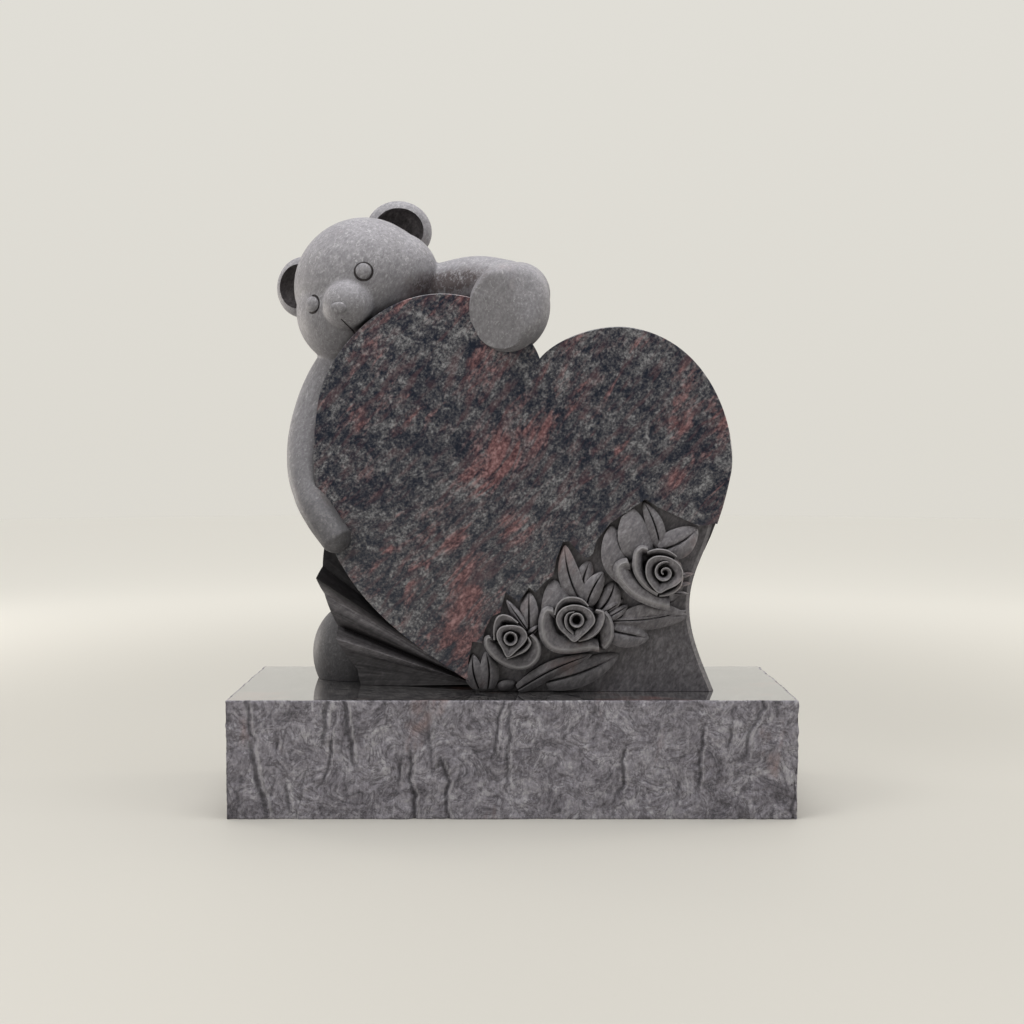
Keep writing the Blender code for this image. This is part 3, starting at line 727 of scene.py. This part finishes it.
def build_spray():
    made = [build_leaf(f"leaf_{n}", *leaf, LEAF_LEAN * sin(2.4 * n + 1)) for n, leaf in enumerate(LEAVES)]
    for name, (centre, size, petals) in ROSES.items():
        for n, petal in enumerate(petals):
            made.append(build_petal(f"{name}_petal_{n}", centre, *petal))
        x, z = centre
        bulb = (35 * size, 22, 32 * size)
        made.append(ball(name + "_bulb", (x - 2, POCKET_FLOOR, z - 17 * size), bulb, CARVED))
        skew = Matrix.Rotation(0.19, 3, "Y")
        bed = ball(name + "_bed", (x, POCKET_FLOOR, z), (30 * size, 34, 29 * size), CARVED, turn=skew)
        # The rose's dark eye: painted shade in a dimple cut into its bed.
        eye = ball(name + "_eye", (x - 1, POCKET_FLOOR - 34, z + 0.5), (7, 15, 7), SHADE)
        combine(bed, [eye], "DIFFERENCE")
        made.append(bed)
    return made


spray = build_spray()


# The bear: it lies over the heart's left lobe, its chin on the edge, one arm round the side and the other
# over the top with its flat pad to the front. It is honed pale and smooth, with cut rings round the eyes
# and a cut mouth. Its back is plainer: a rounded body that sits on the base.


def spin(degrees, axis):
    return Matrix.Rotation(radians(degrees), 3, axis)


HEAD_CENTRE = (-213, 3, 565)
HEAD_ROLL = 30
HEAD_YAW = 21
EARS = (((-161, 21, 641), 5, 47), ((-297, 18, 562), -26, 43))
EAR_THICK = 19
EAR_HIGH = 43
EAR_RIM = 11
EAR_HOLLOW = 26
VIEWER = Vector((0, -2.032, 0.4885))
SIGHT_PLANE = -100
SEAT_LEAN = 0.3
EYES = ((-199, 570), (-268, 526))
EYE_RADIUS = 10.6
EYE_DOME = 0.42
EYE_GROOVE = 1.7
NOSE = (-233, 521)
NOSE_SIZE = (11.5, 8, 3.2)
MOUTH = ((-229, 506), (-225, 502), (-219, 496), (-213, 490), (-208, 483))
MOUTH_GROOVE = 1.2
PAD_FACE = -112
PAD_CENTRE = (-12, PAD_FACE, 521)
PAD_LEAN = spin(-19, "Z") @ spin(7, "X")
PAD_TRIM = spin(-4, "Z") @ spin(4, "X")
PAD_SIDE = (9, -118, 530)
PAD_TURN = spin(16, "Z") @ spin(-9, "X")
ARM_NEAR = (
    (-206, 14, 490, 39), (-252, 2, 425, 39), (-275, -14, 362, 37), (-281, -42, 310, 31.5),
    (-275, -68, 272, 25), (-262, -84, 245, 23), (-235, -97, 207, 21.5),
)
ARM_OVER = ((-165, 24, 540, 40), (-105, 8, 552, 41), (-50, -6, 560, 43), (0, -32, 551, 42))
FUSE_GRAIN = 2.1
EASE_ROUNDS = 12
MELT_ROUNDS = 240
MELT_REACH = 38
MELT_BEFORE = -60
MELT_DEPTH = 20
BEAR_TRIANGLES = 88000


def tube(name, points, finish, detail=7, steps=16):
    """A smooth round limb through points (x, y, z, radius)."""
    curve = bpy.data.curves.new(name, "CURVE")
    curve.dimensions = "3D"
    curve.bevel_depth = MM
    curve.bevel_resolution = detail
    curve.resolution_u = steps
    curve.use_fill_caps = True
    spline = curve.splines.new("BEZIER")
    spline.bezier_points.add(len(points) - 1)
    for knot, (x, y, z, radius) in zip(spline.bezier_points, points):
        knot.co = at(x, y, z)
        knot.radius = radius
        knot.handle_left_type = knot.handle_right_type = "AUTO"
    return settle(place(name + "_line", curve), name, finish)


def build_ear(name, centre, facing, wide):
    """A thick round ear, hollowed in front, that looks a little to the side. The hollow carries painted shade.
    """
    face = spin(facing, "Z")
    ear = ball(name, centre, (wide, EAR_THICK, EAR_HIGH), FUR, turn=face, rings=32)
    ahead = Vector(centre) + face @ Vector((0, -EAR_THICK, 0))
    hollow = (wide - EAR_RIM, EAR_HOLLOW, EAR_HIGH - EAR_RIM)
    combine(ear, [ball(name + "_scoop", ahead, hollow, SHADE, turn=face, rings=30)], "DIFFERENCE")
    return ear


def build_pad_plane(pivot, lean):
    """What is cut off the far paw: all that stands before its flat pad, which looks down and to the left."""
    square = [(-90, 430), (90, 430), (90, 640), (-90, 640)]
    cut = plate("pad_plane", square, 2 * PAD_FACE, -PAD_FACE, 0.5, FUR)
    there = Matrix.Translation(at(*pivot))
    cut.data.transform(there @ lean.to_4x4() @ Matrix.Translation(at(0, PAD_FACE, pivot[2])).inverted())
    return cut


def softness(point):
    """How far the pad runs into the upper right of the far paw without an edge, at a point."""
    x, y, z = point.x / MM, point.y / MM, (point.z - BED) / MM
    aside = 0.1 + ((x - PAD_CENTRE[0]) * 0.94 + (z - PAD_CENTRE[2]) * 0.34) / MELT_REACH
    return min(1, max(0, aside)) * min(1, max(0, (MELT_BEFORE - y) / MELT_DEPTH)) * (x > -80 and z > 440)


def fuse(name, forms):
    """Soft forms made one skin, eased where they meet, melted beside the pad and thinned where it is flat."""
    shape = bmesh.new()
    for form in forms:
        shape.from_mesh(form.data)
        bpy.data.objects.remove(form, do_unlink=True)
    fused = mesh_object(name, shape, FUR)
    modify(fused, "REMESH", mode="VOXEL", voxel_size=FUSE_GRAIN * MM)
    modify(fused, "SMOOTH", factor=0.5, iterations=EASE_ROUNDS)
    bake(fused)
    soft = fused.vertex_groups.new(name="Softer")
    for vertex in fused.data.vertices:
        amount = softness(vertex.co)
        if amount > 0:
            soft.add([vertex.index], amount, "REPLACE")
    modify(fused, "SMOOTH", vertex_group="Softer", factor=0.5, iterations=MELT_ROUNDS)
    bake(fused)
    fused.vertex_groups.clear()
    modify(fused, "DECIMATE", ratio=BEAR_TRIANGLES / (2 * len(fused.data.polygons)))
    bake(fused)
    fused.data.polygons.foreach_set("material_index", [FUR] * len(fused.data.polygons))
    fused.data.polygons.foreach_set("use_smooth", [True] * len(fused.data.polygons))
    return fused


def seen_on(body, x, z):
    """Where the photographer's line of sight through x, z meets the body, and a seat that faces out of it."""
    target = at(x, SIGHT_PLANE, z)
    _, spot, normal, _ = body.ray_cast(VIEWER, (target - VIEWER).normalized())
    facing = (normal + SEAT_LEAN * (VIEWER - spot).normalized()).normalized()
    return spot, Matrix.Translation(spot) @ facing.to_track_quat("Z", "Y").to_matrix().to_4x4()


def button(name, seat, wide, high, deep):
    """A low dome that sits on the bear's skin."""
    shape = bmesh.new()
    bmesh.ops.create_uvsphere(shape, u_segments=40, v_segments=20, radius=MM)
    bmesh.ops.transform(shape, matrix=seat @ Matrix.Diagonal((wide, high, deep, 1)), verts=shape.verts)
    return mesh_object(name, shape, FUR)


def build_bear():
    turn = spin(-HEAD_ROLL, "Y") @ spin(-HEAD_YAW, "Z")
    paw = ball("paw", (-3, -76, 524), (56, 64, 63), FUR, turn=spin(10, "Y"), rings=40)
    combine(paw, [build_pad_plane(PAD_CENTRE, PAD_LEAN), build_pad_plane(PAD_SIDE, PAD_TURN)], "DIFFERENCE")
    forms = [
        ball("skull", HEAD_CENTRE, (98, 86, 90), FUR, turn=turn, rings=40),
        ball("cheeks", (-226, -4, 525), (77, 72, 77), FUR, rings=36),
        ball("temple", (-165, -6, 575), (62, 62, 62), FUR, rings=36),
        ball("crown", (-183, -2, 590), (60, 62, 58), FUR, rings=36),
        ball("muzzle", (-223, -70, 528), (35, 34, 34), FUR, rings=30),
        ball("torso", (-128, 40, 255), (112, 58, 262), FUR, rings=48),
        ball("haunch", (-228, 48, 36), (62, 50, 74), FUR, rings=30),
        ball("seat", (-128, 40, 70), (118, 62, 96), FUR, rings=36),
        tube("arm_near", ARM_NEAR, FUR),
        tube("arm_over", ARM_OVER, FUR),
        ball("hand_near", (-239, -94, 211), (20.5, 21, 20.5), FUR, rings=24),
        paw,
        ball("wrist", (9, -46, 545), (44, 50, 44), FUR, rings=28),
    ]
    bear = fuse("bear", forms)
    cuts = [build_pad_plane(PAD_CENTRE, PAD_LEAN @ PAD_TRIM)]
    domes = [button("nose", seen_on(bear, *NOSE)[1], *NOSE_SIZE)]
    for n, (x, z) in enumerate(EYES):
        seat = seen_on(bear, x, z)[1]
        domes.append(button(f"eye_{n}", seat, EYE_RADIUS, EYE_RADIUS, EYE_DOME * EYE_RADIUS))
        bpy.ops.mesh.primitive_torus_add(
            major_segments=56, minor_segments=12,
            major_radius=(EYE_RADIUS + 0.9 * EYE_GROOVE) * MM, minor_radius=EYE_GROOVE * MM,
        )
        ring = bpy.context.object
        ring.data.transform(seat)
        for material in finishes:
            ring.data.materials.append(material)
        # The ring's cut faces take painted shade.
        ring.data.polygons.foreach_set("material_index", [SHADE] * len(ring.data.polygons))
        cuts.append(ring)
    line = []
    for x, z in MOUTH:
        spot = seen_on(bear, x, z)[0]
        line.append((spot.x / MM, spot.y / MM, (spot.z - BED) / MM, MOUTH_GROOVE))
    # The mouth's groove takes painted shade too.
    cuts.append(tube("mouth", line, SHADE, detail=2, steps=6))
    combine(bear, cuts, "DIFFERENCE")
    ears = [build_ear(f"ear_{n}", *ear) for n, ear in enumerate(EARS)]
    combine(bear, ears, "UNION")
    return bear, domes


bear, domes = build_bear()


# The carved stone made one: the block, the drapery, the spray and the bear are one solid, as they are cut
# from one stone. Painted shade darkens its hollows, and a painted highlight runs along its lips and edges,
# where they are also rubbed pale. The heart is polished, the bear is honed pale, and the carving between
# them is darker.

HOLLOW_REACH = 0.024
HOLLOW_RAYS = 20
HOLLOW_LIFT = 0.0004
GOLDEN_ANGLE = 2.399963
LIP_WIDTH = 0.0021
SPRAY_BACK, SPRAY_LEFT = -0.07, -0.07
SHARP_FROM = radians(35)
FLAT_FROM = 0.9999

combine(stone, [heart, bear, drapery] + domes + spray, "UNION")
ground = [(-500, 0), (500, 0), (500, -300), (-500, -300)]
combine(stone, [plate("below", ground, -300, 600, 0.5, HONED)], "DIFFERENCE")


def keep_outer_skin(thing):
    """Carved stone has no sealed hollows, so only the largest connected skin stays."""
    shape = bmesh.new()
    shape.from_mesh(thing.data)
    unseen = set(shape.faces)
    skins = []
    while unseen:
        skin, edge = set(), {unseen.pop()}
        while edge:
            skin |= edge
            edge = {n for face in edge for line in face.edges for n in line.link_faces} - skin
        unseen -= skin
        skins.append(skin)
    largest = max(skins, key=len)
    bmesh.ops.delete(shape, geom=[face for face in shape.faces if face not in largest], context="FACES")
    shape.to_mesh(thing.data)
    shape.free()


def paint_hollow_shade(mesh):
    """For each point of the carving, the share of its outlook that nearby stone shuts off, which sets its
    painted shade.
    """
    tree = BVHTree.FromPolygons([v.co[:] for v in mesh.vertices], [p.vertices[:] for p in mesh.polygons])
    directions = []
    for k in range(HOLLOW_RAYS):
        up = sqrt(1 - (k + 0.5) / HOLLOW_RAYS)
        round_by = GOLDEN_ANGLE * k
        flat = sqrt(1 - up * up)
        directions.append(Vector((flat * cos(round_by), flat * sin(round_by), up)))
    carved = {index for p in mesh.polygons if p.material_index != POLISHED for index in p.vertices}
    hollow = np.zeros(len(mesh.vertices), np.float32)
    for index in carved:
        vertex = mesh.vertices[index]
        normal = vertex.normal
        frame_of = normal.to_track_quat("Z", "Y").to_matrix()
        start = vertex.co + normal * HOLLOW_LIFT
        shut = 0.0
        for direction in directions:
            hit = tree.ray_cast(start, frame_of @ direction, HOLLOW_REACH)
            if hit[0] is not None:
                shut += 1 - 0.7 * hit[3] / HOLLOW_REACH
        hollow[index] = shut / HOLLOW_RAYS
    mesh.attributes.new("hollow", "FLOAT", "POINT").data.foreach_set("value", hollow)


def paint_lip_highlights(mesh):
    """How near each point is to the lip of a petal or the edge of a leaf, for a painted highlight there."""
    tree = KDTree(len(lip_highlights))
    for n, (point, _, _) in enumerate(lip_highlights):
        tree.insert(point, n)
    tree.balance()
    lip = np.zeros(len(mesh.vertices), np.float32)
    for vertex in mesh.vertices:
        if vertex.co.y > SPRAY_BACK or vertex.co.x < SPRAY_LEFT:
            continue
        _, n, away = tree.find(vertex.co)
        _, pale, wide = lip_highlights[n]
        lip[vertex.index] = pale * max(0.0, 1 - away / (LIP_WIDTH * wide))
    mesh.attributes.new("lip", "FLOAT", "POINT").data.foreach_set("value", lip)


keep_outer_skin(stone)
mesh = stone.data
mesh.set_sharp_from_angle(angle=SHARP_FROM)
for polygon in mesh.polygons:
    if polygon.material_index in (POLISHED, HONED) and abs(polygon.normal.y) > FLAT_FROM:
        polygon.use_smooth = False
paint_hollow_shade(mesh)
paint_lip_highlights(mesh)

# Salmon bands of the polished face: middle, length, width, slope in degrees and strength
BANDS = (
    (-3, 331, 70, 31, 42, 0.95), (18, 345, 40, 12, 20, 0.8), (-78, 208, 30, 12, 42, 1.0),
    (0, 232, 26, 13, 45, 0.8), (-62, 120, 84, 36, 82, 0.85), (-170, 196, 11, 7, 10, 1.0),
    (-140, 140, 32, 8, 78, 0.8), (-235, 370, 60, 30, 60, 0.5), (150, 470, 70, 14, 12, 0.6),
    (228, 400, 60, 24, 75, 0.55), (-95, 520, 60, 24, 10, 0.5), (215, 285, 30, 18, 35, 0.6),
    (-20, 90, 44, 16, 84, 0.9), (90, 395, 36, 12, 50, 0.5), (-45, 455, 30, 14, 30, 0.5),
)


def patch(spot, x, z, length, wide, slope):
    """1 in the middle of an oval of the front, and 0 outside it: middle, half sizes and slope in degrees."""
    front = spot.vectors("MULTIPLY", {0: spot, 1: (1, 0, 1)})
    sizes = (length * MM, 1, wide * MM)
    away = front.within(-slope, sizes, (x * MM, 0, z * MM + BED)).length()
    return 1 - away.rise(0.1, 1.5)


surface = surface_of(finishes[POLISHED])
spot, laid, light, blush, grains = figure(surface, 42, 1.45)
strands = laid.within(0, (1, 1, 3.2))
ragged = strands.speckled(62, 4, 0.7, 0.9)
band, *others = (patch(spot, *oval) * strength for *oval, strength in BANDS)
for other in others:
    band = surface.maths("MAXIMUM", band, other)
pink = (band * 0.66 + (ragged - 0.5) * 2.3 + (blush - 0.5) * 1.5 + (grains - 0.5) * 0.5).rise(0.06, 0.66)
layers = surface.maths("PINGPONG", strands.speckled(27, 2.5, 0.5, 0.7) * 9, 1.0)
pink = pink * (0.25 + 0.75 * layers.rise(0.10, 0.50))
clouds = spot.speckled(21, 4, 0.6, 1.8)
specks = spot.speckled(340, 3, 0.7)
rust = strands.speckled(110, 3, 0.6)
tone = 0.495 + (light - 0.5) * 0.72 + (specks - 0.5) * 1.05 + (clouds - 0.5) * 1.15
colour = tone.ramp(
    (0.22, (0.011, 0.015, 0.027)), (0.40, (0.034, 0.037, 0.050)), (0.52, (0.064, 0.063, 0.071)),
    (0.66, (0.118, 0.118, 0.127)), (0.88, (0.265, 0.266, 0.274)),
)
colour = colour.toward((0.115, 0.060, 0.066), rust.rise(0.50, 0.68) * 0.42)
rosy = light.ramp((0.25, (0.052, 0.028, 0.034)), (0.5, (0.162, 0.080, 0.083)), (0.8, (0.34, 0.200, 0.200)))
colour = colour.toward(rosy, pink)
finish_stone(surface, colour, 0.12, 0.32)

surface = surface_of(finishes[HONED])
_, _, light, _, _ = figure(surface, 25, 1.8)
colour = light.ramp((0.15, (0.053, 0.050, 0.056)), (0.5, (0.101, 0.095, 0.104)), (0.85, (0.174, 0.166, 0.178)))
finish_stone(surface, colour, 0.5, 0.35)

# The leaves and petals are darker near the bed. Painted shade darkens their crevices and the pocket floor
# behind them, and a painted highlight runs along their lips, where they are also rubbed pale.
surface = surface_of(finishes[CARVED])
spot, _, light, blush, _ = figure(surface, 35, 1.8)
colour = light.ramp((0.15, (0.094, 0.089, 0.098)), (0.5, (0.156, 0.148, 0.159)), (0.85, (0.255, 0.245, 0.260)))
colour = colour.toward((0.24, 0.145, 0.13), blush.rise(0.56, 0.72) * 0.45)
colour = colour.shaded(0.48 + 0.54 * spot.part("Z").rise(BED - 0.01, BED + 0.11))
# Painted highlight along the lips, where they are also rubbed pale.
colour = colour.toward((0.36, 0.35, 0.355), surface.stored("lip").rise(0.15, 0.9) * 0.55)
# Painted shade on the pocket floor, deep behind the relief.
colour = colour.toward((0.012, 0.011, 0.012), spot.part("Y").rise(-0.0865, -0.0775) * 0.8)
# Painted shade in the hollows.
colour = colour.toward((0.008, 0.007, 0.008), surface.stored("hollow").rise(0.22, 0.64) * 0.94)
finish_stone(surface, colour, 0.52, 0.35)

# The folds carry fine tool lines that run out from the heart's tip. Painted light and shade lie over them:
# faces that look up and two ridges are lighter, and the folds next to the heart's edge and the hollows darker.
surface = surface_of(finishes[CLOTH])
spot, _, light, _, _ = figure(surface, 60, 2.4)
run = surface.vectors("SUBTRACT", {0: spot, 1: at(*DRAPE_TIP)})
turned = surface.maths("ARCTAN2", run.part("Z"), 0 - run.part("X"))
fan = surface.node("ShaderNodeCombineXYZ", {}, {"X": turned * 34, "Y": run.length() * 9})
scores = fan.speckled(1.0, 4, 0.65)
tone = 0.5 + (light - 0.5) * 0.6 + (scores - 0.5) * 1.5
colour = tone.ramp((0.15, (0.036, 0.034, 0.037)), (0.5, (0.076, 0.072, 0.077)), (0.85, (0.150, 0.143, 0.150)))
normal = surface.node("ShaderNodeNewGeometry", out="Normal")
# Painted light: faces that look up are lighter.
colour = colour.shaded(0.80 + 0.75 * normal.part("Z").rise(0.0, 0.8))
# Painted shade: the folds next to the heart's edge are darker.
colour = colour.shaded(1 - 0.76 * turned.rise(0.535, 0.585))
# Painted highlights along two ridges.
ridge_highlights = turned.rise(0.41, 0.52) * (1 - turned.rise(0.535, 0.565))
ridge_highlights = ridge_highlights + turned.rise(0.20, 0.29) * (1 - turned.rise(0.30, 0.33))
colour = colour.shaded(1 + 1.1 * ridge_highlights)
# Painted shade in the hollows.
colour = colour.toward((0.006, 0.0055, 0.006), surface.stored("hollow").rise(0.16, 0.56) * 0.9)
bump = surface.node("ShaderNodeBump", {}, {"Strength": 0.35, "Distance": 0.001, "Height": scores})
finish_stone(surface, colour, 0.52, 0.35, {"Normal": bump})

# The bear is flecked with pale grains. Painted light and shade lie over it: faces that look up are lighter,
# and lower faces that look right, the haunch beside the drapery and the hollows are darker. A dark vein
# crosses the arm over the heart, partly painted shade under the head.
surface = surface_of(finishes[FUR])
spot, laid, light, blush, _ = figure(surface, 20, 1.5)
height = spot.part("Z")
normal = surface.node("ShaderNodeNewGeometry", out="Normal")
tooth = laid.speckled(330, 4, 0.72)
flecks = laid.speckled(200, 2.5, 0.5, 1.6)
tone = 0.5 + (light - 0.5) * 0.5 + (tooth - 0.5) * 0.75
colour = tone.ramp(
    (0.15, (0.140, 0.136, 0.149)), (0.45, (0.214, 0.208, 0.224)), (0.65, (0.282, 0.276, 0.293)),
    (0.95, (0.47, 0.465, 0.485)),
)
colour = colour.toward((0.52, 0.515, 0.525), flecks.rise(0.56, 0.72) * 0.45)
colour = colour.toward((0.30, 0.215, 0.19), blush.rise(0.58, 0.78) * 0.3)
# Painted shade: lower faces that look to the right are darker.
below = 1 - height.rise(BED + 0.38, BED + 0.50)
colour = colour.shaded(1 - 0.5 * normal.part("X").rise(0.0, 0.85) * below)
# Darker towards the bottom.
colour = colour.shaded(0.36 + 0.64 * height.rise(BED - 0.02, BED + 0.62))
# Painted light: faces that look up are lighter, undersides darker.
colour = colour.shaded(0.78 + 0.34 * normal.part("Z").rise(-0.6, 0.8))
# A dark vein on the arm over the heart, partly painted shade under the head.
in_front = 1 - spot.part("Y").rise(0.0, 0.03)
vein = patch(spot, -88, 562, 62, 20, 8) * (0.55 + (flecks - 0.5) * 2.2) * in_front
colour = colour.toward((0.070, 0.055, 0.056), vein.rise(0.0, 0.6) * 0.95)
# Painted shade in the hollows.
colour = colour.toward((0.012, 0.011, 0.012), surface.stored("hollow").rise(0.22, 0.82) * 0.95)
# Painted shadow on the haunch beside the drapery.
colour = colour.shaded(1 - 0.45 * patch(spot, -210, 55, 22, 70, 0))
bump = surface.node("ShaderNodeBump", {}, {"Strength": 0.3, "Distance": 0.0004, "Height": tooth})
finish_stone(surface, colour, 0.6, 0.3, {"Normal": bump})

# Painted shade: the dark finish of the ear hollows, the rings round the eyes, the mouth and the roses' eyes.
surface = surface_of(finishes[SHADE])
_, _, light, _, _ = figure(surface, 20, 1.5)
colour = light.ramp((0.2, (0.022, 0.019, 0.020)), (0.5, (0.044, 0.039, 0.041)), (0.85, (0.085, 0.077, 0.079)))
# Painted shade, darker still in the hollows.
colour = colour.toward((0.010, 0.009, 0.010), surface.stored("hollow").rise(0.45, 0.9) * 0.9)
finish_stone(surface, colour, 0.7, 0.25)

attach(stone, "root")
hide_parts("headstone")


# The stage: a pale floor, a pale surround and soft lamps, with the camera where the photographer stood.

FLOOR_GLOW = (0.74, 0.715, 0.655)
GLOW_FROM, GLOW_FULL = 0.7, 3.0
FLOOR_RADIUS = 9

floor_stone = bpy.data.materials.new("pale_floor")
surface = surface_of(floor_stone)
# The floor glows more the further out it lies: painted light that fades it into the surround.
away = surface.node("ShaderNodeTexCoord", out="Object").length()
glow = surface.vectors("SCALE", {0: FLOOR_GLOW, "Scale": away.rise(GLOW_FROM, GLOW_FULL) * 0.5})
finish_stone(surface, (0.52, 0.505, 0.465, 1), 0.65, 0.3, {"Emission Color": glow, "Emission Strength": 1.0})
shape = bmesh.new()
bmesh.ops.create_circle(shape, cap_ends=True, segments=96, radius=FLOOR_RADIUS)
floor = mesh_object("floor", shape, 0)
floor.data.materials.clear()
floor.data.materials.append(floor_stone)

# Lamps: name, place, what they face, size, power and colour
LAMPS = (
    ("sky", (0.0, -0.35, 2.6), (0, 0, 0.4), 2.0, 44, (1.0, 0.99, 0.99)),
    ("left", (-1.9, -1.5, 1.7), (-0.1, 0, 0.5), 1.4, 19, (1.0, 0.985, 0.97)),
    ("right", (2.2, -1.0, 1.5), (0.1, 0, 0.4), 1.4, 9, (0.97, 0.98, 1.0)),
    ("left_edge", (-2.8, 1.5, 0.18), (-0.25, 0, 0.22), 0.9, 56, (1.0, 0.93, 0.86)),
    ("right_edge", (3.2, 0.8, 0.8), (0.2, -0.05, 0.4), 0.9, 26, (1.0, 0.93, 0.85)),
)
for name, spot, aim, size, power, colour in LAMPS:
    glowing = bpy.data.lights.new(name, "AREA")
    glowing.shape = "DISK"
    glowing.size = size
    glowing.energy = power
    glowing.color = colour
    lamp = place(name, glowing)
    lamp.location = spot
    lamp.rotation_euler = (Vector(aim) - Vector(spot)).to_track_quat("-Z", "Y").to_euler()

world = bpy.data.worlds.new("pale_room")
bpy.context.scene.world = world
world.use_nodes = True
outlook = Tone(world.node_tree).node("ShaderNodeTexCoord", out="Generated")
paint = outlook.part("Z").ramp((0.0, (0.80, 0.775, 0.71)), (0.3, (0.83, 0.81, 0.75)), (1.0, (0.86, 0.86, 0.85)))
paint = paint.shaded(0.34 + 0.66 * outlook.part("Y").rise(-0.7, 0.3))
room = world.node_tree.nodes["Background"]
world.node_tree.links.new(paint.socket, room.inputs["Color"])
room.inputs["Strength"].default_value = 0.9

CAMERA_DIP = radians(2.436)
lens = bpy.data.cameras.new("camera")
lens.lens = 50.37
lens.sensor_width = 36
camera = place("camera", lens)
camera.location = VIEWER
camera.rotation_euler = (pi / 2 - CAMERA_DIP, 0, 0)
bpy.context.scene.camera = camera
bpy.context.scene.view_settings.view_transform = "Standard"
